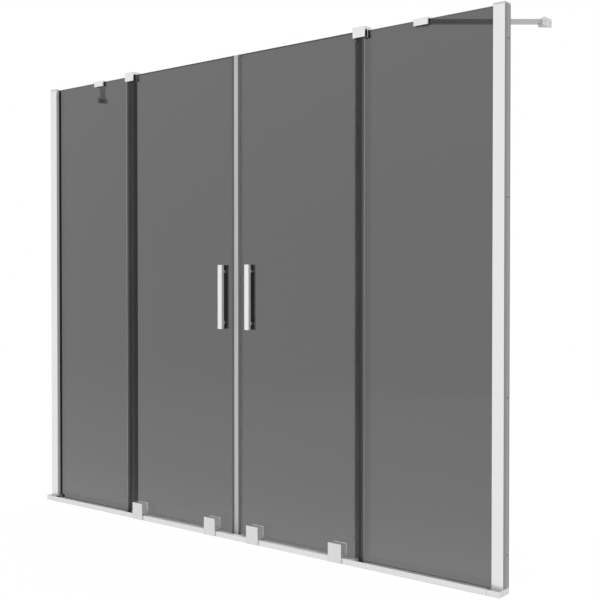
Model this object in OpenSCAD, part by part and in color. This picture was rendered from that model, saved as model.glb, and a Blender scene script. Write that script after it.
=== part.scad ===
// Sliding bath screen for a bath between two walls: a fixed glass panel at each side and two
// glass doors in the middle, which part at a magnetic seal and slide outwards in front of the
// fixed panels. Each door stands on two grooved rollers that run on a rail in the bottom track,
// and its top edge runs through a guide clamped on the fixed panel.
//
// X runs along the screen to the right, Y runs back towards the bath, Z is up. The origin is on
// the underside of the bottom track, where the doors meet and under the middle of the fixed glass.

/* [Overall] */
// Width of the screen from wall to wall
screen_w = 1850; // [1700:10:2100]
// Height of the screen from the bath rim
screen_h = 1500; // [1300:10:1600]

/* [Glass] */
// Width of the left fixed panel from the wall to its free edge
left_fixed_w = 445; // [421:2:499]
// Width of the right fixed panel from the wall to its free edge
right_fixed_w = 478; // [420:2:500]
// Thickness of every pane
glass_t = 6; // [5:0.5:8]
// Gap between the fixed panes and the sliding panes
panel_gap = 7; // [6.5:0.25:9]
// How far the closed left door overlaps its fixed panel
left_overlap = 21; // [20:1:36]
// How far the closed right door overlaps its fixed panel
right_overlap = 32; // [20:1:36]
// How far the fixed glass ends below the top of the wall profiles
fixed_top_drop = 1.5; // [1:0.25:3]
// How far the door glass ends below the top of the wall profiles
door_top_drop = 3; // [2.5:0.25:6]
// Height of the underside of the door glass above the bath rim
door_bottom = 12; // [11.5:0.25:14]

/* [Wall profiles] */
// Width of the wall profiles along the screen
profile_w = 34; // [32:0.5:42]
// Depth of the wall channel that holds the fixed glass
channel_d = 18; // [17:0.5:24]
// Wall thickness of the wall channel
channel_t = 2; // [1.6:0.1:2.4]
// Depth of the clip-on cover in front of the wall channel
cover_d = 12; // [11:0.25:16]
// Wall thickness of the clip-on cover
cover_t = 1.8; // [1.4:0.1:2.2]
// Thickness of the caps on top of the wall profiles
cap_t = 4; // [3.5:0.25:6]
// Distance from the wall to the edge of the fixed glass
glass_inset = 9; // [7:0.5:11]
// How far the rear leg of the wall channel stays behind the front one
rear_setback = 11; // [8:0.5:12]
// Radius of the wall screw holes
wall_hole_r = 2.75; // [2.25:0.25:3.25]
// Distance of the lowest and the highest wall hole from the ends of the channel
wall_hole_end = 85; // [60:5:120]
// Distance between the two wall holes at each end
wall_hole_pitch = 400; // [300:10:450]

/* [Bottom track] */
// Height of the bottom track
track_h = 16.5; // [15.5:0.25:18]
// Thickness of the front wall of the track
track_t = 2.5; // [2:0.25:3]
// Thickness of the floor of the track
track_floor = 2.5; // [2:0.25:3]
// Height of the runner rail above the floor of the track
rail_h = 7; // [6:0.25:8]
// Thickness of the runner rail
rail_t = 3; // [2.5:0.25:3.5]
// Thickness of the two lips that seat the fixed glass
lip_t = 2; // [1.6:0.1:2.4]
// Height of the two lips that seat the fixed glass
lip_h = 4; // [3.5:0.25:5]
// Length of the moulded track ends along the screen
track_end_w = 37.5; // [36:0.5:44]
// Depth of the two silicone grooves under the track
groove_depth = 0.8; // [0.5:0.1:1.2]
// Width of the two silicone grooves under the track
groove_w = 7; // [4:0.5:9]

/* [Roller carriers] */
// Width of a roller carrier
carrier_w = 47; // [46:0.5:56]
// Depth of a roller carrier in front of the door glass
carrier_d = 30; // [29:0.5:34]
// Height of the top of a roller carrier above the bath rim
carrier_top = 55.5; // [55:0.5:64]
// Thickness of the front plate of a carrier
skirt_t = 3; // [2.5:0.25:4]
// Height of the lower edge of the front plate above the bath rim
skirt_bottom = 0.5; // [0.5:0.25:6]
// Wall thickness of the carrier housing
carrier_t = 2.5; // [2:0.25:3]
// How far the carrier housing stays behind the edges of its front plate
carrier_inset = 1.5; // [0.75:0.25:2]
// Distance from the outer edge of the door glass to the middle of the outer carrier
carrier_outer = 73.25; // [66:0.25:90]
// Distance from the middle of the screen to the middle of the inner carrier
carrier_inner = 90.25; // [84:0.25:110]
// Radius of the roller at the bottom of its groove
roller_r = 14; // [13.5:0.25:15]
// Depth of the groove in the roller
roller_groove = 3.5; // [2.5:0.25:4]
// Width of the roller
roller_w = 9; // [8:0.25:11]
// Radius of the roller axle
axle_r = 3; // [2.5:0.25:3.5]
// Outer radius of the roller bearing
bearing_r = 8; // [7:0.25:9]
// Width of the roller bearing
bearing_w = 5; // [4:0.25:6]

/* [Handles] */
// Length of the handle bars
handle_l = 200; // [160:10:300]
// Width of the handle bars
handle_w = 17.5; // [14:0.5:20]
// Depth of the outer handle bars
handle_d = 11.5; // [9:0.5:12]
// Gap between an outer handle bar and the glass
handle_gap = 5.5; // [5:0.5:9]
// Depth of the slim handle bars on the bath side
inner_handle_d = 6.5; // [5.5:0.25:8]
// Gap between an inner handle bar and the glass
inner_gap = 5.5; // [5:0.25:7]
// Distance of the handles from the middle of the screen
handle_x = 56.5; // [50:0.5:80]
// Height of the middle of the handles
handle_z = 750; // [650:10:900]
// Distance between the two fixings of a handle
handle_pitch = 160; // [120:5:180]
// Radius of the handle posts
post_r = 7; // [6:0.25:8]

/* [Seals] */
// Half the width of the closed magnetic seal, from the middle to the glass
magnet_seal_w = 9.5; // [8.5:0.25:12]
// Width of the clips that hold the seals on the glass
seal_clip = 9; // [7:0.5:11]
// Thickness of the seal clips on each side of the glass
seal_t = 1.2; // [1:0.1:1.4]
// How far the outer seal of a door stands out past the glass
edge_seal_w = 10.5; // [7:0.5:12]

/* [Top guides] */
// Length of a top guide along the screen
guide_w = 41.5; // [36:0.5:50]
// Height of a top guide
guide_h = 30; // [26:1:36]
// How far a top guide rises above the top of the wall profiles
guide_rise = 8.5; // [7:0.5:12]
// Depth of the rear leg of a top guide
guide_rear = 8; // [7:0.5:12]
// How far the top guide reaches inwards past the outer edge of the closed door
guide_past = 29; // [27:0.5:31]

/* [Support bars] */
// Distance from the wall to where the support bar leaves its clamp
bar_reach = 247.5; // [225:2.5:295]
// Distance from the middle of the fixed glass back to the axis of the bar there
bar_back = 18.5; // [18:0.25:22]
// Width of the flat support bar
bar_w = 19; // [16:0.5:20]
// Height of the flat support bar
bar_h = 11; // [9:0.5:11.5]
// Wall thickness of the support bar
bar_t = 1.5; // [1:0.1:2]
// Angle between the support bar and the screen
bar_angle = 39.5; // [36:0.5:44]
// Length of the clamp along the screen
clamp_w = 45; // [44:1:56]
// Distance from where the bar leaves the clamp to the end of the clamp on the wall's side
clamp_end = 12; // [9:0.5:16]
// Thickness of the rear leg of the clamp
clamp_leg = 7; // [6:0.25:8]
// Height of the clamp and of the knuckles that take the bar
clamp_h = 19; // [18:0.5:24]
// How far the clamp rises above the top of the wall profiles
clamp_rise = 2.5; // [2:0.25:5]
// Width of the knuckles that take the bar
knuckle_w = 22.5; // [21.5:0.25:26]
// How far the knuckle of the wall bracket stands off its wall plate
bracket_reach = 12.5; // [11:0.5:20]
// Width of the wall plate
plate_w = 43; // [42:0.5:52]
// Height of the wall plate
plate_h = 21; // [20:0.5:26]
// Thickness of the wall plate
plate_t = 7; // [5:0.25:8]
// How far the wall plate rises above the clamps
plate_rise = 2.5; // [1:0.25:4]
// How far the middle of the wall plate lies in front of the axis of the bar at the wall
plate_shift = 3; // [0:0.5:4]
// Distance between the two screw holes in the wall plate
plate_pitch = 33; // [31:0.25:33.5]
// Radius of the screw holes in the wall plate
plate_hole_r = 2.25; // [2:0.25:2.5]

/* [Hidden] */
$fn = 48;

// Sides of the screen
LEFT = -1;
RIGHT = 1;

// Clearances of the fits
seat_gap = 0.02;     // between a pressed or screwed piece and its seat
axle_gap = 0.05;     // between the bearing and its axle
slide_gap = 0.5;     // between the door glass and its guide liner
rub_gap = 0.5;       // between a seal lip and the glass that it wipes
roll_gap = 0.3;      // between the roller and the rail
meet_gap = 0.15;     // half the gap between the two magnetic seals
skirt_gap = 1;       // between the track and the front plates of the carriers
track_gap = 1.5;     // between the top of the track and the carrier housings
bar_gap = 0.1;       // between the support bar and its sockets
clamp_play = 0.5;    // between the front leg of the bar clamp and the door that slides past it
cover_seam = 1;      // between the wall channel and the outer wall of its cover
side_play = 0.5;     // between the bearing and the bosses beside it
cover = 0.1;         // how far a cut runs past the face that it opens

// Planes of the glass, front to back
half_w = screen_w / 2;
fixed_y = glass_t / 2;
door_back = -fixed_y - panel_gap;
door_front = door_back - glass_t;
fixed_top = screen_h - fixed_top_drop;
door_top = screen_h - door_top_drop;

// Wall profiles
profile_in = half_w - profile_w;
rear_leg_in = profile_in + rear_setback;
profile_top = screen_h - cap_t;
channel_back = channel_d / 2;
channel_front = -channel_d / 2;
cover_front = channel_front - cover_d;
gasket_base = 2;
gasket_lip = 1.5;
glass_end = half_w - glass_inset;
corner_r = 1;
snap_x = half_w - profile_w / 2;
snap_t = 1.6;
snap_reach = 5;
snap_barb = 1;
snap_play = 0.3;
cap_peg = 4;
cap_peg_h = 8;

// Bottom track
carrier_front = door_front - carrier_d;
track_front = carrier_front + skirt_t + skirt_gap;
track_back = channel_back;
track_end_in = half_w - track_end_w;
rail_top = track_floor + rail_h;
roller_y = (carrier_front + skirt_t + door_front - carrier_t) / 2;
lip_gap = 2;
lip_front = -fixed_y - lip_gap - lip_t;
edge_break = 0.8;
sill_base = 1.5;
sill_leg_t = 2;
fixed_bottom = track_floor + sill_base;
sill_leg_top = lip_h + 4;
end_tongue = 8;

// Running gear
axle_z = rail_top + roll_gap + roller_r;
carrier_bottom = track_h + track_gap;
axle_seat = 1.5;
boss_r = axle_r + 2;
groove_floor = rail_t / 2 + 0.5;
rim_land = 1.2;
carrier_corner = 1.5;
carrier_foot = 3;
carrier_screw_x = 11;
carrier_screw_z = carrier_top - 10;
screw_sleeve_r = 4;
screw_thread_r = 2.5;
screw_boss_r = 4.5;
screw_head_r = 5.5;
screw_head_t = 2.5;
screw_bite = 4.5;
hex_r = 1.8;
hex_depth = 1.5;

// Handles
stud_r = 2.5;
stud_bite = 5;
bush_r = 6;
bar_edge_r = 1.5;
outer_handle_y = door_front - handle_gap - handle_d;
inner_handle_y = door_back + inner_gap;
inner_bite = inner_handle_d - 1.5;
handle_ends = [-1, 1];

// Seals
door_in = magnet_seal_w;
magnet_wall = 1.2;
magnet_play = 0.3;
drip_leg = 5.5;
drip_base = 2.2;
drip_lip_t = 1.2;
overlap_seal_z = carrier_screw_z + screw_head_r + 1.5;
seal_top_gap = 2.5;
edge_fin_t = 1.2;

// Top guides
guide_top = screen_h + guide_rise;
guide_bottom = guide_top - guide_h;
guide_front_leg = 3;
guide_slot_side = 2;
guide_mid_gap = 1;
liner_t = guide_slot_side - slide_gap;
guide_slot_top = fixed_top + 2;
guide_front = door_front - guide_slot_side - guide_front_leg;
guide_back = fixed_y + guide_mid_gap + guide_rear;
pad_t = guide_mid_gap;
grub_r = 2;
grub_inset = 12;

// Support bars
clamp_top = screen_h + clamp_rise;
clamp_bottom = clamp_top - clamp_h;
clamp_front = door_back + clamp_play;
clamp_back = fixed_y + pad_t + clamp_leg;
clamp_pad_top = 1;
bar_roof = 1;
bar_corner = 1;
bar_x = half_w - bar_reach;
clamp_in = bar_x + clamp_end - clamp_w;
clamp_out = bar_x + clamp_end;
clamp_grub_xs = [clamp_in + 6, clamp_in + 16];
clamp_grub_z = clamp_bottom + 7;
bar_z = clamp_top - bar_roof - bar_h / 2;
clamp_bite = 7.5;
bar_end_gap = 1;
bar_bite = (bracket_reach - bar_w / 2 * sin(bar_angle) - bar_end_gap) / cos(bar_angle);
bracket_start = (bar_reach - plate_t - bracket_reach) / cos(bar_angle);
bar_end = bracket_start + bar_bite;
plate_y = bar_back + bar_reach * tan(bar_angle) - plate_shift;
plate_top = clamp_top + plate_rise;
plate_z = plate_top - plate_h / 2;
tenon_l = 3.5;
tenon_w = 12;
tenon_h = 3.5;
tenon_y = bar_back + (bar_reach - plate_t) * tan(bar_angle);
tenon_z = clamp_bottom + 2;

function fixed_w(side) = side == LEFT ? left_fixed_w : right_fixed_w;
// X of the free edge of the fixed glass, and of the outer edge of the door glass
function free_edge(side) = half_w - fixed_w(side);
function door_out(side) = free_edge(side) + (side == LEFT ? left_overlap : right_overlap);
function carrier_xs(side) = [carrier_inner, door_out(side) - carrier_outer];

// A box from its lowest to its highest corner
module box(low, high) {
    translate(low) cube(high - low);
}

// Whatever is drawn for the right side of the screen, put on the given side
module on_side(side) {
    mirror([side == LEFT ? 1 : 0, 0, 0]) children();
}

// A section drawn with Y to the right and Z up, extruded along X
module along_x(x0, x1) {
    translate([x0, 0, 0]) rotate([90, 0, 90]) linear_extrude(x1 - x0) children();
}

// A section drawn with X to the right and Y up the page, extruded along Z
module along_z(z0, z1) {
    translate([0, 0, z0]) linear_extrude(z1 - z0) children();
}

// A cylinder along Y from y0 to y1
module rod_y(x, y0, y1, z, r) {
    translate([x, y0, z]) rotate([-90, 0, 0]) cylinder(r = r, h = y1 - y0);
}

// A hexagonal key socket along Y
module hex_y(x, y0, y1, z, r) {
    translate([x, y0, z]) rotate([-90, 0, 0]) cylinder(r = r, h = y1 - y0, $fn = 6);
}

// A flat rectangle with round corners, from corner to corner
module round_rect(low, high, r) {
    translate([low[0] + r, low[1]]) square([high[0] - low[0] - 2 * r, high[1] - low[1]]);
    translate([low[0], low[1] + r]) square([high[0] - low[0], high[1] - low[1] - 2 * r]);
    for (x = [low[0] + r, high[0] - r], y = [low[1] + r, high[1] - r]) translate([x, y]) circle(r);
}

// Bottom track and sill

// Track section: front wall, runner rail with a round top, and two lips for the fixed glass
module track_section() {
    difference() {
        union() {
            polygon([[track_front, 0], [track_back, 0], [track_back, track_floor],
                [track_front + track_t, track_floor], [track_front + track_t, track_h],
                [track_front + edge_break, track_h], [track_front, track_h - edge_break]]);
            translate([roller_y - rail_t / 2, 0]) square([rail_t, rail_top - rail_t / 2]);
            translate([roller_y, rail_top - rail_t / 2]) circle(rail_t / 2);
            translate([lip_front, 0]) square([lip_t, lip_h]);
            translate([track_back - lip_t, 0]) square([lip_t, lip_h]);
        }
        for (y = [roller_y, door_front / 2]) {
            translate([y - groove_w / 2, -cover]) square([groove_w, groove_depth + cover]);
        }
    }
}

module bottom_track() {
    color("lightgray") along_x(-track_end_in, track_end_in) track_section();
}

// Moulded end of the track under the wall profile: a hollow block with a tongue into the track
module track_end() {
    color("gainsboro") {
        difference() {
            along_x(track_end_in, half_w) {
                difference() {
                    round_rect([track_front, 0], [track_back, track_h], edge_break);
                    translate([lip_front + lip_t, track_floor])
                        square([track_back - lip_t - lip_front - lip_t, track_h]);
                }
            }
            box([track_end_in - cover, track_front + track_t, track_floor],
                [half_w - track_t, lip_front, track_h - track_t]);
        }
        box([half_w - track_t, lip_front + lip_t, track_floor], [half_w, track_back - lip_t, track_h]);
        box([track_end_in - end_tongue, track_front + track_t, track_floor],
            [track_end_in + track_t, roller_y - rail_t / 2 - slide_gap, 2 * track_floor]);
    }
}

// Strip that closes the rear channel of the track between the two fixed panels
module sill_insert() {
    x0 = -free_edge(LEFT) + seal_t + slide_gap;
    x1 = free_edge(RIGHT) - seal_t - slide_gap;
    front = lip_front + lip_t;
    back = track_back - lip_t;
    color("lightgray") along_x(x0, x1)
        translate([front, track_floor]) square([back - front, lip_h - track_floor]);
}

// Wall profiles

// Wall channel section: a U against the wall, whose rear leg is shorter, with a barbed rib that
// holds the cover
module channel_section() {
    difference() {
        translate([profile_in + gasket_lip, channel_front])
            square([profile_w - gasket_lip, channel_d]);
        translate([profile_in - cover, channel_front + channel_t])
            square([profile_w - channel_t + cover, channel_d - 2 * channel_t]);
        translate([profile_in - cover, 0])
            square([rear_setback + gasket_lip + cover, channel_back + cover]);
    }
    polygon([[snap_x - snap_t / 2, channel_front], [snap_x - snap_t / 2, channel_front - snap_reach / 2],
        [snap_x - snap_t / 2 - snap_barb, channel_front - snap_reach / 2],
        [snap_x - snap_t / 4, channel_front - snap_reach], [snap_x + snap_t / 4, channel_front - snap_reach],
        [snap_x + snap_t / 2 + snap_barb, channel_front - snap_reach / 2],
        [snap_x + snap_t / 2, channel_front - snap_reach / 2], [snap_x + snap_t / 2, channel_front]]);
}

// Heights of the wall holes: a pair at the bottom and a pair at the top
function wall_hole_zs() = let (low = track_h + wall_hole_end, high = profile_top - wall_hole_end)
    [low, low + wall_hole_pitch, high - wall_hole_pitch, high];

module wall_channel() {
    color("silver") difference() {
        along_z(track_h, profile_top) channel_section();
        for (z = wall_hole_zs()) {
            translate([half_w - channel_t - cover, 0, z]) rotate([0, 90, 0])
                cylinder(r = wall_hole_r, h = channel_t + 2 * cover);
        }
    }
}

// Cover section: an open box with two hooked legs that snap over the rib of the wall channel
module cover_section() {
    hook_y = channel_front - snap_reach / 2 + snap_play;
    difference() {
        round_rect([profile_in, cover_front], [half_w, channel_front], corner_r);
        translate([profile_in + cover_t, cover_front + cover_t])
            square([profile_w - 2 * cover_t, cover_d]);
        translate([half_w - cover_t - cover, channel_front - cover_seam])
            square([cover_t + 2 * cover, cover_seam + cover]);
    }
    translate([profile_in, channel_front - corner_r]) square([cover_t, corner_r]);
    for (s = [-1, 1]) {
        leg_x = snap_x + s * (snap_t / 2 + snap_barb + snap_play);
        polygon([[leg_x, cover_front + cover_t / 2], [leg_x + s * cover_t, cover_front + cover_t / 2],
            [leg_x + s * cover_t, hook_y + snap_barb], [leg_x - s * snap_barb, hook_y + snap_barb],
            [leg_x - s * snap_barb, hook_y], [leg_x, hook_y]]);
    }
}

module profile_cover() {
    color("gainsboro") along_z(track_h, profile_top) cover_section();
}

// Cap on a wall profile, notched round the fixed glass, with two pegs down into the profiles
module profile_cap() {
    notch = fixed_y + slide_gap;
    peg_x = profile_in + cover_t + seat_gap;
    color("gainsboro") {
        difference() {
            along_z(profile_top, screen_h)
                round_rect([profile_in, cover_front], [half_w, channel_back], corner_r);
            box([profile_in - cover, -notch, profile_top - cover],
                [glass_end + slide_gap, notch, screen_h + cover]);
            box([profile_in - cover, 0, profile_top - cover],
                [rear_leg_in, channel_back + cover, screen_h + cover]);
        }
        box([peg_x, cover_front + cover_t + seat_gap, profile_top - cap_peg_h],
            [peg_x + cap_peg, cover_front + cover_t + seat_gap + cap_peg, profile_top]);
        box([half_w - channel_t - seat_gap - cap_peg, -cap_peg / 2, profile_top - cap_peg_h],
            [half_w - channel_t - seat_gap, cap_peg / 2, profile_top]);
    }
}

// Fixed panels

module fixed_glass(side) {
    color([0.3, 0.3, 0.32, 0.6])
        box([free_edge(side), -fixed_y, fixed_bottom], [glass_end, fixed_y, fixed_top]);
}

// Rubber gasket between the wall channel and the glass, with a lip over each leg of the channel
module wall_gasket() {
    inner = channel_d / 2 - channel_t;
    back_end = glass_end + gasket_base;
    color("dimgray") along_z(track_h, profile_top) {
        difference() {
            union() {
                translate([profile_in, -inner]) square([back_end - profile_in, inner]);
                translate([rear_leg_in, -cover]) square([back_end - rear_leg_in, inner + cover]);
                translate([profile_in, channel_front]) square([gasket_lip, channel_d / 2]);
                translate([rear_leg_in, 0]) square([gasket_lip, channel_d / 2]);
            }
            translate([profile_in - cover, -fixed_y])
                square([glass_end - profile_in + cover, glass_t]);
        }
    }
}

// Rubber seat under the fixed glass: a base between the lips of the track, and two legs that
// grip the glass
module sill_gasket(side) {
    front = lip_front + lip_t;
    back = track_back - lip_t;
    color("dimgray") along_x(free_edge(side), glass_end) {
        difference() {
            union() {
                translate([front, track_floor]) square([back - front, lip_h - track_floor]);
                translate([-fixed_y - sill_leg_t, track_floor])
                    square([glass_t + 2 * sill_leg_t, sill_leg_top - track_floor]);
            }
            translate([-fixed_y, fixed_bottom]) square([glass_t, sill_leg_top]);
        }
    }
}

// Seal on the free edge of the fixed glass: a clip with a fin that wipes the back of the door
module overlap_seal(side) {
    edge = free_edge(side);
    color("darkgray") along_z(overlap_seal_z, guide_bottom - seal_top_gap) {
        difference() {
            translate([edge - seal_t, -fixed_y - seal_t])
                square([seal_clip + seal_t, glass_t + 2 * seal_t]);
            translate([edge, -fixed_y]) square([seal_clip + cover, glass_t]);
        }
        translate([edge - seal_t, door_back + rub_gap])
            square([seal_t, -fixed_y - door_back - rub_gap]);
    }
}

// Top guides

// Guide section, an E that opens downwards: the door slides in the front slot, and the rear
// slot is clamped on the fixed glass
module guide_section() {
    mid_front = door_back + guide_slot_side;
    mid_back = -fixed_y - guide_mid_gap;
    difference() {
        round_rect([guide_front, guide_bottom], [guide_back, guide_top], corner_r);
        translate([door_front - guide_slot_side, guide_bottom - cover])
            square([glass_t + 2 * guide_slot_side, guide_slot_top - guide_bottom + cover]);
        translate([mid_back, guide_bottom - cover])
            square([glass_t + 2 * guide_mid_gap, guide_slot_top - guide_bottom + cover]);
    }
}

function guide_x0(side) = door_out(side) - guide_past;

module top_guide(side) {
    x0 = guide_x0(side);
    color("silver") difference() {
        along_x(x0, x0 + guide_w) guide_section();
        for (x = [x0 + grub_inset, x0 + guide_w - grub_inset]) {
            rod_y(x, fixed_y, guide_back + cover, guide_bottom + grub_inset, grub_r + seat_gap);
        }
    }
}

// Plastic liner of the door slot in a guide
module guide_liner(side) {
    x0 = guide_x0(side);
    front = door_front - guide_slot_side;
    back = door_back + guide_slot_side;
    color("whitesmoke") along_x(x0, x0 + guide_w) {
        difference() {
            translate([front, guide_bottom]) square([back - front, guide_slot_top - guide_bottom]);
            translate([front + liner_t, guide_bottom - cover])
                square([back - front - 2 * liner_t, guide_slot_top - liner_t - guide_bottom + cover]);
        }
    }
}

// Rubber pad folded over the top edge of the fixed glass, in a guide or in a bar clamp
module edge_pad(x0, x1, bottom, top) {
    color("dimgray") along_x(x0, x1) {
        difference() {
            translate([-fixed_y - pad_t, bottom]) square([glass_t + 2 * pad_t, top - bottom]);
            translate([-fixed_y, bottom - cover]) square([glass_t, fixed_top - bottom + cover]);
        }
    }
}

module clamp_pads() {
    for (side = [LEFT, RIGHT]) on_side(side) {
        edge_pad(max(free_edge(side), guide_x0(side)), guide_x0(side) + guide_w, guide_bottom,
            guide_slot_top);
        edge_pad(clamp_in, clamp_out, clamp_bottom, fixed_top + clamp_pad_top);
    }
}

// Grub screw along Y that presses a pad on the glass
module grub_y(x, z, tail) {
    color("gray") difference() {
        rod_y(x, fixed_y + pad_t, tail, z, grub_r);
        hex_y(x, tail - hex_depth, tail + cover, z, grub_r / 2);
    }
}

// Hole or screw that stands under the support bar, so far along the bar's line
module under_bar(along, low, r) {
    translate([bar_x, bar_back, 0]) rotate([0, 0, bar_angle]) translate([along, 0, low])
        cylinder(r = r, h = bar_z - bar_h / 2 - low);
}

// Grub screw that holds the support bar in its knuckle from below
module grub_z(along) {
    low = clamp_bottom + edge_break;
    color("gray") difference() {
        under_bar(along, low, grub_r);
        translate([bar_x, bar_back, 0]) rotate([0, 0, bar_angle]) translate([along, 0, low - cover])
            cylinder(r = grub_r / 2, h = hex_depth + cover, $fn = 6);
    }
}

module grub_screws() {
    for (side = [LEFT, RIGHT]) on_side(side) {
        x0 = guide_x0(side);
        for (x = [x0 + grub_inset, x0 + guide_w - grub_inset]) {
            grub_y(x, guide_bottom + grub_inset, guide_back - edge_break);
        }
        for (x = clamp_grub_xs) grub_y(x, clamp_grub_z, clamp_back - edge_break);
        grub_z(-clamp_bite / 2);
        grub_z(bracket_start + bar_bite / 2);
    }
}

// Support bars

// Turns and moves its children from the X axis to the line of the support bar
module on_bar_line() {
    translate([bar_x, bar_back, bar_z]) rotate([0, 0, bar_angle]) children();
}

// Solid of the flat bar's outside from start to end along its line
module bar_solid(start, end, grow) {
    half = [bar_w / 2 + grow, bar_h / 2 + grow];
    on_bar_line() along_x(start, end) round_rect(-half, half, bar_corner + grow);
}

// Block round the end of the bar, from start to end along its line
module knuckle(start, end) {
    on_bar_line() translate([start, -knuckle_w / 2, clamp_bottom - bar_z])
        cube([end - start, knuckle_w, clamp_h]);
}

// Clamp on the top edge of the fixed glass, with a slanting knuckle behind it that takes the bar
module bar_clamp() {
    color("silver") difference() {
        union() {
            along_x(clamp_in, clamp_out) {
                difference() {
                    round_rect([clamp_front, clamp_bottom], [clamp_back, clamp_top], corner_r);
                    translate([-fixed_y - pad_t, clamp_bottom - cover])
                        square([glass_t + 2 * pad_t, fixed_top + clamp_pad_top - clamp_bottom + cover]);
                }
            }
            intersection() {
                knuckle(-clamp_w, 0);
                box([clamp_in, clamp_back - clamp_leg / 2, clamp_bottom],
                    [clamp_out, bar_back + knuckle_w, clamp_top - edge_break]);
            }
        }
        bar_solid(-clamp_bite, bar_w, bar_gap);
        for (x = clamp_grub_xs) {
            rod_y(x, fixed_y, bar_back + knuckle_w, clamp_grub_z, grub_r + seat_gap);
        }
        under_bar(-clamp_bite / 2, clamp_bottom - cover, grub_r + seat_gap);
    }
}

// Flat tube from the clamp to the wall bracket
module support_bar() {
    color("silver") difference() {
        bar_solid(-clamp_bite, bar_end, 0);
        on_bar_line() translate([-clamp_bite - cover, -bar_w / 2 + bar_t, -bar_h / 2 + bar_t])
            cube([bar_end + clamp_bite + 2 * cover, bar_w - 2 * bar_t, bar_h - 2 * bar_t]);
    }
}

// Slanting knuckle against the wall plate, with a pocket for the bar and one for the plate's tenon
module wall_bracket() {
    plate_face = half_w - plate_t;
    color("silver") difference() {
        intersection() {
            knuckle(bracket_start, bracket_start + 2 * bracket_reach + knuckle_w);
            box([bar_x, bar_back, clamp_bottom], [plate_face, plate_y + plate_w, clamp_top - edge_break]);
        }
        bar_solid(0, bar_end + bar_gap, bar_gap);
        under_bar(bracket_start + bar_bite / 2, clamp_bottom - cover, grub_r + seat_gap);
        box([plate_face - tenon_l - seat_gap, tenon_y - tenon_w / 2 - seat_gap, tenon_z - seat_gap],
            [plate_face + cover, tenon_y + tenon_w / 2 + seat_gap, tenon_z + tenon_h + seat_gap]);
    }
}

// Wall plate with two countersunk screw holes and a tenon that carries the bracket
module wall_plate() {
    plate_face = half_w - plate_t;
    color("silver") difference() {
        union() {
            box([plate_face, plate_y - plate_w / 2, plate_top - plate_h],
                [half_w, plate_y + plate_w / 2, plate_top]);
            box([plate_face - tenon_l, tenon_y - tenon_w / 2, tenon_z],
                [plate_face + cover, tenon_y + tenon_w / 2, tenon_z + tenon_h]);
        }
        for (s = [-1, 1]) translate([plate_face - cover, plate_y + s * plate_pitch / 2, plate_z]) {
            rotate([0, 90, 0]) cylinder(r = plate_hole_r, h = plate_t + 2 * cover);
            rotate([0, 90, 0]) cylinder(r1 = 2 * plate_hole_r, r2 = plate_hole_r, h = plate_hole_r);
        }
    }
}

// Doors

// Sliding pane with holes for the handle studs and the carrier screws
module door_glass(side) {
    color([0.3, 0.3, 0.32, 0.6]) difference() {
        box([door_in, door_front, door_bottom], [door_out(side), door_back, door_top]);
        for (s = handle_ends) {
            rod_y(handle_x, door_front - cover, door_back + cover, handle_z + s * handle_pitch / 2,
                bush_r + seat_gap);
        }
        for (x = carrier_xs(side), s = [-1, 1]) {
            rod_y(x + s * carrier_screw_x, door_front - cover, door_back + cover, carrier_screw_z,
                screw_sleeve_r + seat_gap);
        }
    }
}

// Handle bar from y0 to y1 with two blind holes for the studs, cut from hole_y0 to hole_y1
module handle_bar(y0, y1, hole_y0, hole_y1) {
    color("gainsboro") difference() {
        along_z(handle_z - handle_l / 2, handle_z + handle_l / 2)
            round_rect([handle_x - handle_w / 2, y0], [handle_x + handle_w / 2, y1], bar_edge_r);
        for (s = handle_ends) {
            rod_y(handle_x, hole_y0, hole_y1, handle_z + s * handle_pitch / 2, stud_r + seat_gap);
        }
    }
}

module outer_handle() {
    back = outer_handle_y + handle_d;
    handle_bar(outer_handle_y, back, back - stud_bite, back + cover);
}

module inner_handle() {
    handle_bar(inner_handle_y, inner_handle_y + inner_handle_d, inner_handle_y - cover,
        inner_handle_y + inner_bite);
}

// Four posts that keep the handle bars off the glass
module handle_posts() {
    color("silver") for (s = handle_ends, y = [[door_front - handle_gap, door_front],
            [door_back, inner_handle_y]]) {
        difference() {
            rod_y(handle_x, y[0], y[1], handle_z + s * handle_pitch / 2, post_r);
            rod_y(handle_x, y[0] - cover, y[1] + cover, handle_z + s * handle_pitch / 2,
                stud_r + seat_gap);
        }
    }
}

// Two threaded studs that run from one handle bar through the glass to the other
module handle_studs() {
    color("gray") for (s = handle_ends) {
        rod_y(handle_x, outer_handle_y + handle_d - stud_bite + seat_gap,
            inner_handle_y + inner_bite - seat_gap, handle_z + s * handle_pitch / 2, stud_r);
    }
}

// Two plastic bushes that keep the studs off the glass
module handle_bushes() {
    color("whitesmoke") for (s = handle_ends) difference() {
        rod_y(handle_x, door_front, door_back, handle_z + s * handle_pitch / 2, bush_r);
        rod_y(handle_x, door_front - cover, door_back + cover, handle_z + s * handle_pitch / 2,
            stud_r + seat_gap);
    }
}

// Clip of a door seal round the glass edge at x, reaching inwards over the glass
module seal_clip_section(x, inwards) {
    outer = glass_t + 2 * seal_t;
    x_clip = inwards > 0 ? x - seal_t : x - seal_clip;
    x_glass = inwards > 0 ? x : x - seal_clip - cover;
    difference() {
        translate([x_clip, door_front - seal_t]) square([seal_clip + seal_t, outer]);
        translate([x_glass, door_front]) square([seal_clip + cover, glass_t]);
    }
}

// Magnetic seal on the meeting edge of a door: a clip and a hollow bead
module magnetic_seal() {
    bead_out = door_in - seal_t;
    color("lightgray") along_z(door_bottom, door_top) {
        seal_clip_section(door_in, 1);
        difference() {
            translate([meet_gap, door_front - seal_t / 2])
                square([bead_out - meet_gap, glass_t + seal_t]);
            translate([meet_gap + magnet_wall, door_front - seal_t / 2 + magnet_wall])
                square([bead_out - meet_gap - 2 * magnet_wall, glass_t + seal_t - 2 * magnet_wall]);
        }
    }
}

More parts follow.
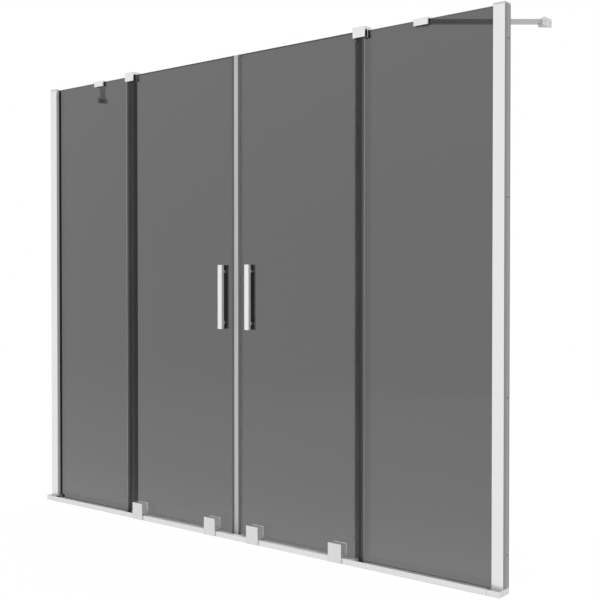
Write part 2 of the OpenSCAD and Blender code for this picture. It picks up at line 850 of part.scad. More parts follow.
// Magnet strip inside the bead of the magnetic seal
module magnet_strip() {
    low = [meet_gap + magnet_wall + magnet_play, door_front - seal_t / 2 + magnet_wall + magnet_play];
    high = [door_in - seal_t - magnet_wall - magnet_play,
        door_back + seal_t / 2 - magnet_wall - magnet_play];
    color("dimgray") along_z(door_bottom + magnet_play, door_top - magnet_play)
        translate(low) square(high - low);
}

// Seal on the outer edge of a door: a clip, and a flat fin that goes on in line with the glass
module edge_seal(side) {
    edge = door_out(side);
    fin_y = door_front - seal_t + edge_fin_t / 2;
    fin_end = edge + edge_seal_w - edge_fin_t / 2;
    color("darkgray") along_z(sill_leg_top + slide_gap, guide_bottom - seal_top_gap) {
        seal_clip_section(edge, -1);
        translate([edge, fin_y - edge_fin_t / 2]) square([fin_end - edge, edge_fin_t]);
        translate([fin_end, fin_y]) circle(edge_fin_t / 2);
    }
}

// Drip seal under a door: a clip, and a lip that hangs into the track
module drip_seal(side) {
    color("darkgray") along_x(door_in + seal_clip + slide_gap, door_out(side) - seal_clip - slide_gap) {
        difference() {
            translate([door_front - seal_t, door_bottom - drip_base])
                square([glass_t + 2 * seal_t, drip_base + drip_leg]);
            translate([door_front, door_bottom]) square([glass_t, drip_leg + cover]);
        }
        translate([door_back + seal_t - drip_lip_t, track_floor + rub_gap])
            square([drip_lip_t, door_bottom - drip_base - track_floor - rub_gap + cover]);
    }
}

// Running gear

// Upright plate of a carrier from y0 to y1, inset from the outline of the front plate
module carrier_plate(x, y0, y1, bottom, inset) {
    half = carrier_w / 2 - inset;
    translate([0, y1, 0]) rotate([90, 0, 0]) linear_extrude(y1 - y0)
        round_rect([x - half, bottom], [x + half, carrier_top - inset], carrier_corner);
}

// Carrier: a housing in front of the glass, open below, with a foot against the glass and a front
// plate that hangs over the track
module roller_carrier(x) {
    inner_back = door_front - carrier_t;
    inner_front = carrier_front + skirt_t;
    inner_half = carrier_w / 2 - carrier_inset - carrier_t;
    difference() {
        union() {
            carrier_plate(x, carrier_front, inner_front, skirt_bottom, 0);
            carrier_plate(x, inner_front, door_front, carrier_bottom, carrier_inset);
            carrier_plate(x, door_front - carrier_foot, door_front, carrier_bottom, carrier_inset / 2);
        }
        difference() {
            box([x - inner_half, inner_front, carrier_bottom - cover],
                [x + inner_half, inner_back, carrier_top - carrier_inset - carrier_t]);
            rod_y(x, inner_front - cover, roller_y - bearing_w / 2 - side_play, axle_z, boss_r);
            rod_y(x, roller_y + bearing_w / 2 + side_play, inner_back + cover, axle_z, boss_r);
            for (s = [-1, 1]) {
                rod_y(x + s * carrier_screw_x, door_front - screw_bite, inner_back + cover,
                    carrier_screw_z, screw_boss_r);
            }
        }
        rod_y(x, inner_front - axle_seat, door_front + cover, axle_z, axle_r + seat_gap);
        for (s = [-1, 1]) {
            rod_y(x + s * carrier_screw_x, door_front - screw_bite - cover, door_front + cover,
                carrier_screw_z, screw_thread_r + seat_gap);
        }
    }
}

module roller_carriers(side) {
    color("gainsboro") for (x = carrier_xs(side)) roller_carrier(x);
}

// Flat-headed screws that hold the carriers, each with a sleeve through the glass
module carrier_screws(side) {
    color("gray") for (x = carrier_xs(side), s = [-1, 1]) difference() {
        union() {
            rod_y(x + s * carrier_screw_x, door_back, door_back + screw_head_t, carrier_screw_z,
                screw_head_r);
            rod_y(x + s * carrier_screw_x, door_front, door_back, carrier_screw_z, screw_sleeve_r);
            rod_y(x + s * carrier_screw_x, door_front - screw_bite, door_front, carrier_screw_z,
                screw_thread_r);
        }
        hex_y(x + s * carrier_screw_x, door_back + screw_head_t - hex_depth,
            door_back + screw_head_t + cover, carrier_screw_z, hex_r);
    }
}

// Roller axles, fixed in the front plate and the back wall of each carrier
module roller_axles(side) {
    color("gray") for (x = carrier_xs(side)) {
        rod_y(x, carrier_front + skirt_t - axle_seat + seat_gap, door_front - seat_gap, axle_z, axle_r);
    }
}

// Grooved roller that straddles the rail, bored for its bearing
module roller(x) {
    rim = roller_r + roller_groove;
    half = roller_w / 2;
    color("whitesmoke") translate([x, roller_y, axle_z]) rotate([-90, 0, 0]) rotate_extrude($fn = 72)
        polygon([[bearing_r + seat_gap, -half], [rim, -half], [rim, -half + rim_land],
            [roller_r, -groove_floor], [roller_r, groove_floor], [rim, half - rim_land],
            [rim, half], [bearing_r + seat_gap, half]]);
}

// Shielded ball bearing pressed into a roller and running on the axle
module bearing(x) {
    ring = bearing_w / 2;
    recess = 0.4;
    race_in = axle_r + 1.5;
    race_out = bearing_r - 1.5;
    color("gray") translate([x, roller_y, axle_z]) rotate([-90, 0, 0]) rotate_extrude()
        polygon([[axle_r + axle_gap, -ring], [race_in, -ring], [race_in, -ring + recess],
            [race_out, -ring + recess], [race_out, -ring], [bearing_r, -ring], [bearing_r, ring],
            [race_out, ring], [race_out, ring - recess], [race_in, ring - recess], [race_in, ring],
            [axle_r + axle_gap, ring]]);
}

// Frame
bottom_track();
on_side(LEFT) track_end();  // track_end_left
on_side(RIGHT) track_end();  // track_end_right
sill_insert();
on_side(LEFT) wall_channel();  // wall_channel_left
on_side(RIGHT) wall_channel();  // wall_channel_right
on_side(LEFT) profile_cover();  // profile_cover_left
on_side(RIGHT) profile_cover();  // profile_cover_right
for (s = [LEFT, RIGHT]) on_side(s) profile_cap();  // profile_caps
on_side(LEFT) fixed_glass(LEFT);  // fixed_glass_left
on_side(RIGHT) fixed_glass(RIGHT);  // fixed_glass_right
for (s = [LEFT, RIGHT]) on_side(s) wall_gasket();  // wall_gaskets
for (s = [LEFT, RIGHT]) on_side(s) sill_gasket(s);  // sill_gaskets
for (s = [LEFT, RIGHT]) on_side(s) overlap_seal(s);  // overlap_seals
on_side(LEFT) top_guide(LEFT);  // top_guide_left
on_side(RIGHT) top_guide(RIGHT);  // top_guide_right
for (s = [LEFT, RIGHT]) on_side(s) guide_liner(s);  // guide_liners
clamp_pads();
grub_screws();
on_side(LEFT) bar_clamp();  // bar_clamp_left
on_side(RIGHT) bar_clamp();  // bar_clamp_right
on_side(LEFT) support_bar();  // support_bar_left
on_side(RIGHT) support_bar();  // support_bar_right
on_side(LEFT) wall_bracket();  // wall_bracket_left
on_side(RIGHT) wall_bracket();  // wall_bracket_right
for (s = [LEFT, RIGHT]) on_side(s) wall_plate();  // wall_plates

// Left door
on_side(LEFT) door_glass(LEFT);  // door_glass_left
on_side(LEFT) outer_handle();  // outer_handle_left
on_side(LEFT) inner_handle();  // inner_handle_left
on_side(LEFT) handle_posts();  // handle_posts_left
on_side(LEFT) handle_studs();  // handle_studs_left
on_side(LEFT) handle_bushes();  // handle_bushes_left
on_side(LEFT) magnetic_seal();  // magnetic_seal_left
on_side(LEFT) magnet_strip();  // magnet_strip_left
on_side(LEFT) edge_seal(LEFT);  // edge_seal_left
on_side(LEFT) drip_seal(LEFT);  // drip_seal_left
on_side(LEFT) roller_carriers(LEFT);  // roller_carriers_left
on_side(LEFT) carrier_screws(LEFT);  // carrier_screws_left
on_side(LEFT) roller_axles(LEFT);  // roller_axles_left

// Right door
on_side(RIGHT) door_glass(RIGHT);  // door_glass_right
on_side(RIGHT) outer_handle();  // outer_handle_right
on_side(RIGHT) inner_handle();  // inner_handle_right
on_side(RIGHT) handle_posts();  // handle_posts_right
on_side(RIGHT) handle_studs();  // handle_studs_right
on_side(RIGHT) handle_bushes();  // handle_bushes_right
on_side(RIGHT) magnetic_seal();  // magnetic_seal_right
on_side(RIGHT) magnet_strip();  // magnet_strip_right
on_side(RIGHT) edge_seal(RIGHT);  // edge_seal_right
on_side(RIGHT) drip_seal(RIGHT);  // drip_seal_right
on_side(RIGHT) roller_carriers(RIGHT);  // roller_carriers_right
on_side(RIGHT) carrier_screws(RIGHT);  // carrier_screws_right
on_side(RIGHT) roller_axles(RIGHT);  // roller_axles_right

// Rollers
on_side(LEFT) roller(carrier_xs(LEFT)[1]);  // roller_left_outer
on_side(LEFT) bearing(carrier_xs(LEFT)[1]);  // bearing_left_outer
on_side(LEFT) roller(carrier_xs(LEFT)[0]);  // roller_left_inner
on_side(LEFT) bearing(carrier_xs(LEFT)[0]);  // bearing_left_inner
on_side(RIGHT) roller(carrier_xs(RIGHT)[0]);  // roller_right_inner
on_side(RIGHT) bearing(carrier_xs(RIGHT)[0]);  // bearing_right_inner
on_side(RIGHT) roller(carrier_xs(RIGHT)[1]);  // roller_right_outer
on_side(RIGHT) bearing(carrier_xs(RIGHT)[1]);  // bearing_right_outer
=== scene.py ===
import math

import bpy
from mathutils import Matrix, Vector


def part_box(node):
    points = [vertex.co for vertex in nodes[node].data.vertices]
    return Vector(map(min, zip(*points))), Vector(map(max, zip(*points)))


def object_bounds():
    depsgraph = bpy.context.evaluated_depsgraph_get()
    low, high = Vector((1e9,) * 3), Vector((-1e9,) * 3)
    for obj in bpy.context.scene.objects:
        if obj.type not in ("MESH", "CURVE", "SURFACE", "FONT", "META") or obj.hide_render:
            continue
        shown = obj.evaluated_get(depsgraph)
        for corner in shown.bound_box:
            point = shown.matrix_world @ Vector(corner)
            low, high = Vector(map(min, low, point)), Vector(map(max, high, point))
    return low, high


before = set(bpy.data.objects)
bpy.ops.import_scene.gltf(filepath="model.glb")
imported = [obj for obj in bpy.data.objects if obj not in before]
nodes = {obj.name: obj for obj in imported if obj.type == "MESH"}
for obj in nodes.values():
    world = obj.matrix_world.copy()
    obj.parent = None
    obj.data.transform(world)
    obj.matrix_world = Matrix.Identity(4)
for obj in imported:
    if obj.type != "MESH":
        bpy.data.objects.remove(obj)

cad_low, cad_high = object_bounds()


# Places from the frame: X of the edges of panes and seals, Y of the backs of the panes, and where
# the track ends begin and how high they are

door_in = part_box("door_glass_right")[0][0]
door_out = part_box("door_glass_left")[0][0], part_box("door_glass_right")[1][0]
door_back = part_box("door_glass_left")[1][1]
pane_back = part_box("fixed_glass_left")[1][1]
left_pane_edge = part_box("fixed_glass_left")[1][0]
fin_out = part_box("edge_seal_left")[0][0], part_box("edge_seal_right")[1][0]
track_end_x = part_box("bottom_track")[1][0]
track_end_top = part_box("track_end_left")[1][2]


# Sizes in metres

FACE_DEPTH = 0.0005     # how far behind a face a mark on it reaches
EDGE_RADIUS = 0.0012
GRAIN_DEPTH = 0.0002
SEAM_WIDTH = 0.003
SEAL_WALL = 0.0012
FIN_TIP = 0.003
TOP_LINE = 0.003        # height of the darker line along the top edge of the glass
SCREEN_HEIGHT = 1.5
# The stripes on the wall face of the profiles are painted shade.
WALL_FACE_SHADE_STARTS = (-0.016, -0.006, 0.003)    # Y of each stripe on the wall face of the profiles


# Values shared by the finishes

NO_STRETCH = (1, 1, 1)
ALONG_X = (0.02, 1, 1)
ALONG_Z = (1, 1, 0.02)
NOISE_LOW, NOISE_HIGH = 0.25, 0.75      # most values of a noise lie between these
MOTTLE_LOW, MOTTLE_HIGH = 0.3, 0.7      # noise at which a mottle is at its darkest and lightest
MOTTLE_DETAIL = 4.0
ROUGHNESS_SPREAD = 0.05
GRAIN_DETAIL = 3.0
GRAIN_ROUGHNESS = 0.6
BEVEL_SAMPLES = 6
GLASS_SPECULAR = 0.3
SEAL_SPECULAR = 0.25

# Shades of the marks on the metal: painted shade (profiles' wall face, track ends' tops) and a joint
# line
WALL_FACE_SHADES = (0.27, 0.34, 0.41, 0.3)
SEAM_LEVEL = 0.85
# Painted shade on the top of the track ends
END_TOP_PAINTED_SHADE = 0.6

# Colour and opacity of the glass from the bath rim to the top, as (share of the height, level)
# The lighter colour and lower opacity towards the bath rim are painted light over the glass's own dark
# colour.
GLASS_COLOUR_AND_PAINTED_LIGHT = ((0.0, 0.09), (0.12, 0.035), (0.35, 0.006), (1.0, 0.006))
GLASS_OPACITY_AND_PAINTED_LIGHT = ((0.0, 0.612), (0.12, 0.622), (0.35, 0.638), (0.65, 0.638), (1.0, 0.628))

# What the line along the top edge adds to the opacity of each pane
FIXED_LINE_TINT = 0.04
DOOR_LINE_TINT = 0.15


# Studio and camera

# The room that lights the object, from its floor to its ceiling, as (share of the height, level)
FRONT_ROOM = ((0.0, 0.6), (0.34, 0.75), (0.4, 0.95), (0.46, 1.15), (0.5, 0.98), (0.54, 0.66),
              (0.58, 0.28), (0.64, 0.15), (0.76, 0.25), (0.87, 0.6), (1.0, 0.6))
REAR_ROOM = ((0.0, 0.27), (0.5, 0.18), (1.0, 0.25))
REAR_FADE = (-0.25, 0.45)               # Y of the direction, from the front room to the rear one
ROOM_STRENGTH = 1.1

# Patches of light in the room: the limits in X and in Y between which each fades in, and its level
RIGHT_PATCH = ((0.35, 0.55), (-0.15, -0.35), 1.2)
REAR_PATCH = ((0.4, 0.2), (0.3, 0.6), 0.85)

FLOOR_RADIUS = 9.0
FLOOR_CORNERS = 64
FLOOR_GAP = 0.0005
FLOOR_GLOW = 0.95
FLOOR_SEEN_LEVEL = 0.1
FLOOR_OTHER_LEVEL = 0.8

LAMP_TARGET = (0, 0, 0.7)
LAMP_SIZE = 2.0

CAMERA_PLACE = (2.1497, -2.3176, 0.7910)
CAMERA_DOWN = 0.912                     # degrees below level
CAMERA_TURN = 39.458                    # degrees about Z, from facing along Y
CAMERA_LENS = 60.835
CAMERA_SENSOR = 36.0
CAMERA_REACH = 60.0


# Node helpers

def add(tree, kind, **values):
    """A node of a kind with the given properties."""
    node = tree.nodes.new(kind)
    for key, value in values.items():
        setattr(node, key, value)
    return node


def feed(tree, value, socket):
    """Links a socket to another one, or sets it to a number or a colour."""
    if isinstance(value, bpy.types.NodeSocket):
        tree.links.new(value, socket)
    else:
        socket.default_value = value


def new_tree(name):
    """A material with an empty node tree and its output."""
    material = bpy.data.materials.new(name)
    material.use_nodes = True
    tree = material.node_tree
    tree.nodes.clear()
    output = tree.nodes.new("ShaderNodeOutputMaterial")
    return material, tree, output


def new_shader(name):
    """A material with a Principled shader as its surface."""
    material, tree, output = new_tree(name)
    shader = add(tree, "ShaderNodeBsdfPrincipled")
    tree.links.new(shader.outputs["BSDF"], output.inputs["Surface"])
    return material, tree, shader


def axis(tree, letter, source="Object"):
    """One of the object's own coordinates, or of another source."""
    place = add(tree, "ShaderNodeTexCoord")
    split = add(tree, "ShaderNodeSeparateXYZ")
    tree.links.new(place.outputs[source], split.inputs["Vector"])
    return split.outputs[letter]


def along_x(tree):
    """The object's X."""
    return axis(tree, "X")


def off_centre(tree):
    """Distance from the middle of the screen along X."""
    return math_node(tree, "ABSOLUTE", axis(tree, "X"))


def stretched_coords(tree, scale):
    """Object coordinates scaled by axis."""
    coords = add(tree, "ShaderNodeTexCoord")
    mapping = add(tree, "ShaderNodeMapping")
    mapping.inputs["Scale"].default_value = scale
    tree.links.new(coords.outputs["Object"], mapping.inputs["Vector"])
    return mapping.outputs["Vector"]


def noise(tree, coords, scale, detail, roughness=0.5):
    """A noise texture's value."""
    node = add(tree, "ShaderNodeTexNoise")
    node.inputs["Scale"].default_value = scale
    node.inputs["Detail"].default_value = detail
    node.inputs["Roughness"].default_value = roughness
    tree.links.new(coords, node.inputs["Vector"])
    return node.outputs["Fac"]


def math_node(tree, operation, *values):
    """A math node fed with sockets or numbers."""
    node = add(tree, "ShaderNodeMath", operation=operation)
    for value, socket in zip(values, node.inputs):
        feed(tree, value, socket)
    return node.outputs["Value"]


def above(tree, value, limit):
    """A mask: 1 where a value is above a limit, and 0 elsewhere."""
    return math_node(tree, "GREATER_THAN", value, limit)


def masked(tree, mask, inside, outside):
    """One value where a mask is 1, and another where it is 0."""
    change = math_node(tree, "SUBTRACT", inside, outside)
    return math_node(tree, "MULTIPLY_ADD", mask, change, outside)


def steps(tree, masks, values):
    """The first of the values, which changes to the next one at each mask."""
    total = values[0]
    for mask, before, after in zip(masks, values, values[1:]):
        total = math_node(tree, "MULTIPLY_ADD", mask, after - before, total)
    return total


def mapped(tree, value, start, end, low=0.0, high=1.0):
    """A value mapped from start-end to low-high, and kept between those."""
    node = add(tree, "ShaderNodeMapRange")
    node.inputs["From Min"].default_value = start
    node.inputs["From Max"].default_value = end
    node.inputs["To Min"].default_value = low
    node.inputs["To Max"].default_value = high
    tree.links.new(value, node.inputs["Value"])
    return node.outputs["Result"]


def spread(tree, texture, low, high):
    """A noise's value mapped to low-high."""
    return mapped(tree, texture, NOISE_LOW, NOISE_HIGH, low, high)


def grey(level):
    """A colour without a hue."""
    return level, level, level


def ramp(tree, value, stops):
    """A colour ramp over a value, with (position, colour) stops."""
    node = add(tree, "ShaderNodeValToRGB")
    elements = node.color_ramp.elements
    while len(elements) < len(stops):
        elements.new(0.5)
    for element, (position, colour) in zip(elements, stops):
        element.position = position
        element.color = (*colour, 1.0)
    tree.links.new(value, node.inputs["Fac"])
    return node.outputs["Color"]


def grey_ramp(tree, value, levels):
    """A ramp of greys over a value, with (position, level) stops."""
    return ramp(tree, value, [(position, grey(level)) for position, level in levels])


def mottled(tree, texture, dark, light):
    """A noise's value as a mottle between two colours."""
    return ramp(tree, texture, [(MOTTLE_LOW, dark), (MOTTLE_HIGH, light)])


def mix(tree, factor, first, second, blend="MIX"):
    """Two colours mixed by a factor."""
    node = add(tree, "ShaderNodeMix", data_type="RGBA", blend_type=blend)
    feed(tree, factor, node.inputs["Factor"])
    feed(tree, first, node.inputs["A"])
    feed(tree, second, node.inputs["B"])
    return node.outputs["Result"]


def multiplied(tree, first, second):
    """One colour times another."""
    return mix(tree, 1.0, first, second, "MULTIPLY")


def mix_shader(tree, factor, first, second):
    """Two shaders mixed by a factor."""
    node = add(tree, "ShaderNodeMixShader")
    tree.links.new(factor, node.inputs["Fac"])
    tree.links.new(first, node.inputs[1])
    tree.links.new(second, node.inputs[2])
    return node.outputs["Shader"]


# Marks on the metal, as factors of its colour: painted shade and a darker joint line

def wall_face_painted_shade(tree):
    """Painted shade on the face that lies against the wall: the face darkened, in light and dark stripes
    along its shallow ribs.
    """
    depth = axis(tree, "Y")
    # Painted shade: the wall face darker overall, in stripes
    stripe = steps(tree, [above(tree, depth, start) for start in WALL_FACE_SHADE_STARTS], WALL_FACE_SHADES)
    on_face = above(tree, off_centre(tree), cad_high[0] - FACE_DEPTH)
    return masked(tree, on_face, stripe, 1.0)


def end_joint_and_painted_top_shade(tree):
    """The joint between the track and its moulded end as a darker line, and painted shade that darkens
    the end's top.
    """
    distance = off_centre(tree)
    limits = (track_end_x, track_end_x + SEAM_WIDTH)
    seam = steps(tree, [above(tree, distance, limit) for limit in limits], (1.0, SEAM_LEVEL, 1.0))
    # Painted shade: the top face of the end darker
    on_top = above(tree, axis(tree, "Z"), track_end_top - FACE_DEPTH)
    return math_node(tree, "MULTIPLY", seam, steps(tree, [on_top], (1.0, END_TOP_PAINTED_SHADE)))


# Finishes

def grain(tree, coords, bump, scale, soft_edges):
    """A normal with a fine grain, over softened edges where these are asked for."""
    relief = add(tree, "ShaderNodeBump")
    relief.inputs["Strength"].default_value = bump
    relief.inputs["Distance"].default_value = GRAIN_DEPTH
    tree.links.new(noise(tree, coords, scale, GRAIN_DETAIL, GRAIN_ROUGHNESS), relief.inputs["Height"])
    if soft_edges:
        soft_edge = add(tree, "ShaderNodeBevel", samples=BEVEL_SAMPLES)
        soft_edge.inputs["Radius"].default_value = EDGE_RADIUS
        tree.links.new(soft_edge.outputs["Normal"], relief.inputs["Normal"])
    return relief.outputs["Normal"]


def surface(name, colour, variation, roughness, scale, metallic=0.0, alpha=1.0, stretch=NO_STRETCH,
            bump=0.0, bump_scale=900.0, soft_edges=False, marks=None):
    """A procedural finish: mottled colour with its marks and painted shade, uneven roughness and a fine
    grain.
    """
    material, tree, shader = new_shader(name)
    shader.inputs["Metallic"].default_value = metallic
    shader.inputs["Alpha"].default_value = alpha
    coords = stretched_coords(tree, stretch)
    mottle = noise(tree, coords, scale, MOTTLE_DETAIL)
    dark = tuple(channel * (1 - variation) for channel in colour)
    light = tuple(min(1.0, channel * (1 + variation)) for channel in colour)
    shade = mottled(tree, mottle, dark, light)
    if marks:
        shade = multiplied(tree, shade, marks(tree))
    tree.links.new(shade, shader.inputs["Base Color"])
    tree.links.new(spread(tree, mottle, roughness - ROUGHNESS_SPREAD, roughness + ROUGHNESS_SPREAD),
                   shader.inputs["Roughness"])
    if bump:
        tree.links.new(grain(tree, coords, bump, bump_scale, soft_edges), shader.inputs["Normal"])
    return material


def pane(name, top, line_tint):
    """Tinted glass with painted light that makes it a touch lighter towards the bath rim, and a darker
    line along its top edge.
    """
    material, tree, shader = new_shader(name)
    shader.inputs["Specular IOR Level"].default_value = GLASS_SPECULAR
    height = axis(tree, "Z")
    share = mapped(tree, height, 0.0, SCREEN_HEIGHT)
    mottle = noise(tree, stretched_coords(tree, NO_STRETCH), scale=1.5, detail=2.0)
    uneven = mottled(tree, mottle, grey(0.8), grey(1.0))
    # Painted light: the colour and the opacity make the glass lighter towards the bath rim
    tree.links.new(multiplied(tree, grey_ramp(tree, share, GLASS_COLOUR_AND_PAINTED_LIGHT), uneven),
                   shader.inputs["Base Color"])
    at_top = above(tree, height, top - TOP_LINE)
    opacity_and_painted_light = grey_ramp(tree, share, GLASS_OPACITY_AND_PAINTED_LIGHT)
    tree.links.new(math_node(tree, "MULTIPLY_ADD", at_top, line_tint, opacity_and_painted_light), shader.inputs["Alpha"])
    tree.links.new(spread(tree, mottle, low=0.02, high=0.04), shader.inputs["Roughness"])
    return material


def soft_seal(name, distance, starts, back_start, shades, covers, back_shades, back_covers):
    """A soft seal with a streaky mottle, in stripes that each have a shade and a cover, its opacity.
    The next stripe begins where the distance passes a start. Behind back_start in Y, the values of
    the back count."""
    material, tree, shader = new_shader(name)
    shader.inputs["Specular IOR Level"].default_value = SEAL_SPECULAR
    place = distance(tree)
    past = [above(tree, place, start) for start in starts]
    behind = above(tree, axis(tree, "Y"), back_start)
    shade = masked(tree, behind, steps(tree, past, back_shades), steps(tree, past, shades))
    cover = masked(tree, behind, steps(tree, past, back_covers), steps(tree, past, covers))
    mottle = noise(tree, stretched_coords(tree, ALONG_Z), scale=150.0, detail=MOTTLE_DETAIL)
    tree.links.new(multiplied(tree, shade, mottled(tree, mottle, grey(0.86), grey(1.0))),
                   shader.inputs["Base Color"])
    tree.links.new(cover, shader.inputs["Alpha"])
    tree.links.new(spread(tree, mottle, low=0.25, high=0.4), shader.inputs["Roughness"])
    return material


# Glass

fixed_pane = pane("tinted_fixed_glass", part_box("fixed_glass_left")[1][2], FIXED_LINE_TINT)
door_pane = pane("tinted_door_glass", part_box("door_glass_left")[1][2], DOOR_LINE_TINT)

# Metals

EXTRUDED = {"variation": 0.01, "scale": 90.0, "bump": 0.02, "bump_scale": 700.0, "soft_edges": True}
TRACK = {**EXTRUDED, "roughness": 0.26, "metallic": 0.5, "stretch": ALONG_X}

# The upright's wall face carries painted shade.
profile_metal = surface("bright_anodised_upright", grey(0.86), roughness=0.22, metallic=0.55,
                        stretch=ALONG_Z, marks=wall_face_painted_shade, **EXTRUDED)
track_metal = surface("bright_anodised_track", grey(0.8), **TRACK)
chrome = surface("polished_chrome", grey(0.88), variation=0.015, roughness=0.16, scale=40.0,
                 metallic=0.5, bump=0.02, soft_edges=True)
satin_chrome = surface("satin_chrome", grey(0.86), variation=0.02, roughness=0.24, scale=60.0,
                       metallic=0.5, bump=0.04, soft_edges=True)
# The tops of the track ends carry painted shade.
end_metal = surface("bright_track_end", grey(0.8), marks=end_joint_and_painted_top_shade, **TRACK)
satin_carrier = surface("satin_carrier", grey(0.76), variation=0.01, roughness=0.26, scale=60.0,
                        metallic=0.45, bump=0.02, soft_edges=True)
bar_metal = surface("drawn_bar", grey(0.53), variation=0.02, roughness=0.24, scale=60.0,
                    metallic=0.3, bump=0.02, soft_edges=True)

# Plastic, rubber and seals

moulding = surface("light_grey_moulding", grey(0.6), variation=0.03, roughness=0.3, scale=120.0,
                   bump=0.05, soft_edges=True)
rubber = surface("black_gasket", grey(0.015), variation=0.2, roughness=0.6, scale=200.0, bump=0.3)
sill_rubber = surface("grey_sill_gasket", grey(0.9), variation=0.05, roughness=0.55, scale=150.0,
                      alpha=0.6, stretch=ALONG_X)
door_seal = soft_seal(
    "meeting_seal", off_centre, [door_in - SEAL_WALL], door_back - FACE_DEPTH,
    shades=(0.59, 0.14), covers=(0.97, 0.93), back_shades=(0.59, 0.5), back_covers=(0.97, 0.3))
fin_seal = soft_seal(
    "door_edge_seal", along_x, [fin_out[0] + FIN_TIP, *door_out, fin_out[1] - FIN_TIP],
    door_back - FACE_DEPTH, shades=(0.36, 0.1, 0.032, 0.09, 0.28), covers=(0.9, 0.9, 0.93, 0.9, 0.9),
    back_shades=(0.5,) * 5, back_covers=(0.1,) * 5)

# Clear clips, with a black fin on the left seal and a clear one on the right, as photographed
PANE_SEAL_SHADES = (0.6, 0.004, 0.6)
PANE_SEAL_COVERS = (0.06, 0.96, 0.06)
pane_seal = soft_seal(
    "pane_edge_seal", along_x, [left_pane_edge, 0.0], pane_back - FACE_DEPTH,
    shades=PANE_SEAL_SHADES, covers=PANE_SEAL_COVERS,
    back_shades=PANE_SEAL_SHADES, back_covers=PANE_SEAL_COVERS)

drip_seal = surface("clear_drip_seal", grey(0.9), variation=0.05, roughness=0.3, scale=150.0,
                    alpha=0.3, stretch=ALONG_X)
magnet = surface("magnet_strip", (0.05, 0.045, 0.04), variation=0.2, roughness=0.6, scale=200.0)
nylon = surface("white_nylon", (0.8, 0.8, 0.78), variation=0.03, roughness=0.4, scale=150.0, bump=0.08)
black_nylon = surface("black_nylon", grey(0.02), variation=0.1, roughness=0.4, scale=150.0, bump=0.08)
steel = surface("turned_steel", grey(0.6), variation=0.04, roughness=0.3, scale=200.0, metallic=1.0,
                bump=0.06)

# The finish of each node, by the start of its name
LOOKS = {
    "bottom_track": track_metal, "track_end": end_metal, "sill_insert": track_metal,
    "wall_channel": profile_metal, "profile_cover": profile_metal, "profile_caps": moulding,
    "fixed_glass": fixed_pane, "door_glass": door_pane, "wall_gaskets": rubber,
    "sill_gaskets": sill_rubber, "overlap_seals": pane_seal, "edge_seal": fin_seal,
    "drip_seal": drip_seal, "magnetic_seal": door_seal, "magnet_strip": magnet,
    "top_guide": satin_chrome, "guide_liners": black_nylon, "clamp_pads": rubber,
    "grub_screws": steel, "bar_clamp": satin_chrome, "support_bar": bar_metal,
    "wall_bracket": bar_metal, "wall_plates": satin_carrier, "outer_handle": chrome,
    "inner_handle": chrome, "handle_posts": chrome, "handle_studs": steel,
    "handle_bushes": nylon, "roller_carriers": satin_carrier, "carrier_screws": steel,
    "roller_axles": steel, "roller": nylon, "bearing": steel,
}


def look_of(node):
    """The finish whose key starts the node's name; the longest key counts."""
    keys = [key for key in LOOKS if node.startswith(key)]
    return LOOKS[max(keys, key=len)]


for name, obj in nodes.items():
    if not obj.material_slots:
        obj.data.materials.append(None)
    for slot in obj.material_slots:
        slot.material = look_of(name)


# Studio: white for camera, transmission and glossy rays, and a shaded room that lights the object

def light_patch(tree, base, x, y, patch):
    """The room's colour with a patch of light."""
    x_limits, y_limits, level = patch
    cover = math_node(tree, "MULTIPLY", mapped(tree, x, *x_limits), mapped(tree, y, *y_limits))
    return mix(tree, cover, base, (*grey(level), 1.0))


def room(tree):
    """The colour of the shaded room in each direction."""
    x, y, z = (axis(tree, letter, "Generated") for letter in "XYZ")
    share = mapped(tree, z, -1.0, 1.0)
    walls = mix(tree, mapped(tree, y, *REAR_FADE), grey_ramp(tree, share, FRONT_ROOM),
                grey_ramp(tree, share, REAR_ROOM))
    right_lit = light_patch(tree, walls, x, y, RIGHT_PATCH)
    return light_patch(tree, right_lit, math_node(tree, "ABSOLUTE", x), y, REAR_PATCH)


def background(tree, colour, strength=1.0):
    """A background shader of a colour."""
    node = add(tree, "ShaderNodeBackground")
    node.inputs["Strength"].default_value = strength
    feed(tree, colour, node.inputs["Color"])
    return node.outputs["Background"]


def build_world():
    """The white background and the room, each for its own rays."""
    world = bpy.data.worlds.new("studio")
    bpy.context.scene.world = world
    world.use_nodes = True
    tree = world.node_tree
    tree.nodes.clear()
    output = add(tree, "ShaderNodeOutputWorld")
    rays = add(tree, "ShaderNodeLightPath").outputs
    through = math_node(tree, "MAXIMUM", rays["Is Camera Ray"], rays["Is Transmission Ray"])
    seen = math_node(tree, "MAXIMUM", through, rays["Is Glossy Ray"])
    white = background(tree, (*grey(1.0), 1.0))
    mixed = mix_shader(tree, seen, background(tree, room(tree), ROOM_STRENGTH), white)
    tree.links.new(mixed, output.inputs["Surface"])


def diffuse(tree, level):
    """A grey diffuse shader."""
    node = add(tree, "ShaderNodeBsdfDiffuse")
    node.inputs["Color"].default_value = (*grey(level), 1.0)
    return node.outputs["BSDF"]


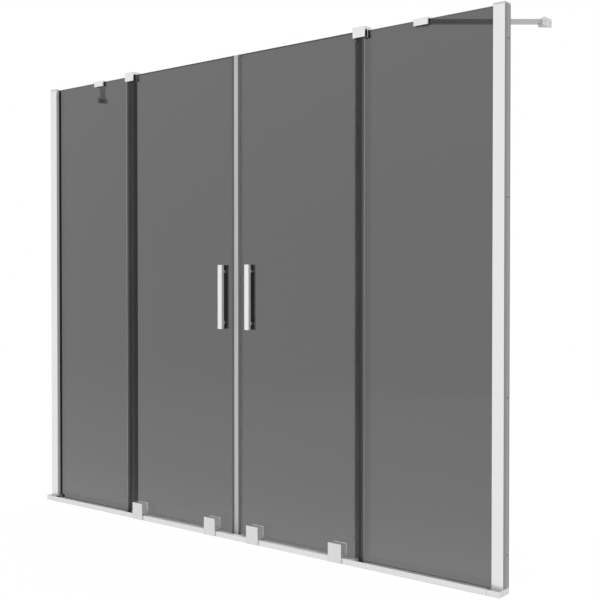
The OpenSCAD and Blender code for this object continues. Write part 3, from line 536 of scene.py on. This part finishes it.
def floor_material():
    """A white glow with a faint shadow for the camera, and a light grey for other rays."""
    material, tree, output = new_tree("white_floor")
    glow = add(tree, "ShaderNodeEmission")
    glow.inputs["Strength"].default_value = FLOOR_GLOW
    seen = add(tree, "ShaderNodeAddShader")
    tree.links.new(diffuse(tree, FLOOR_SEEN_LEVEL), seen.inputs[0])
    tree.links.new(glow.outputs["Emission"], seen.inputs[1])
    path = add(tree, "ShaderNodeLightPath")
    mixed = mix_shader(tree, path.outputs["Is Camera Ray"], diffuse(tree, FLOOR_OTHER_LEVEL),
                       seen.outputs["Shader"])
    tree.links.new(mixed, output.inputs["Surface"])
    return material


def build_floor():
    """A round floor just under the screen, which neither lights it nor shows in its reflections."""
    mesh = bpy.data.meshes.new("floor")
    angles = [math.tau * i / FLOOR_CORNERS for i in range(FLOOR_CORNERS)]
    corners = [(FLOOR_RADIUS * math.cos(angle), FLOOR_RADIUS * math.sin(angle), 0.0) for angle in angles]
    mesh.from_pydata(corners, [], [tuple(range(FLOOR_CORNERS))])
    mesh.materials.append(floor_material())
    floor = bpy.data.objects.new("floor", mesh)
    floor.location.z = cad_low[2] - FLOOR_GAP
    floor.visible_glossy = False
    floor.visible_diffuse = False
    bpy.context.scene.collection.objects.link(floor)


def area_lamp(name, location, energy):
    """A round lamp that points at the screen and doesn't show in reflections."""
    data = bpy.data.lights.new(name, "AREA")
    data.shape = "DISK"
    data.size = LAMP_SIZE
    data.energy = energy
    lamp = bpy.data.objects.new(name, data)
    lamp.location = location
    direction = Vector(LAMP_TARGET) - Vector(location)
    lamp.rotation_euler = direction.to_track_quat("-Z", "Y").to_euler()
    lamp.visible_glossy = False
    bpy.context.scene.collection.objects.link(lamp)


def build_camera():
    """The camera of the photograph, as fitted to the edges of the screen."""
    data = bpy.data.cameras.new("camera")
    data.sensor_width = CAMERA_SENSOR
    data.lens = CAMERA_LENS
    data.clip_end = CAMERA_REACH
    camera = bpy.data.objects.new("camera", data)
    camera.location = CAMERA_PLACE
    camera.rotation_euler = (math.radians(90 - CAMERA_DOWN), 0.0, math.radians(CAMERA_TURN))
    bpy.context.scene.collection.objects.link(camera)
    bpy.context.scene.camera = camera


build_world()
build_floor()
area_lamp("key", location=(1.0, -4.5, 1.2), energy=32.0)
area_lamp("rear", location=(-1.0, 4.0, 1.5), energy=30.0)
build_camera()
bpy.context.scene.view_settings.view_transform = "Standard"
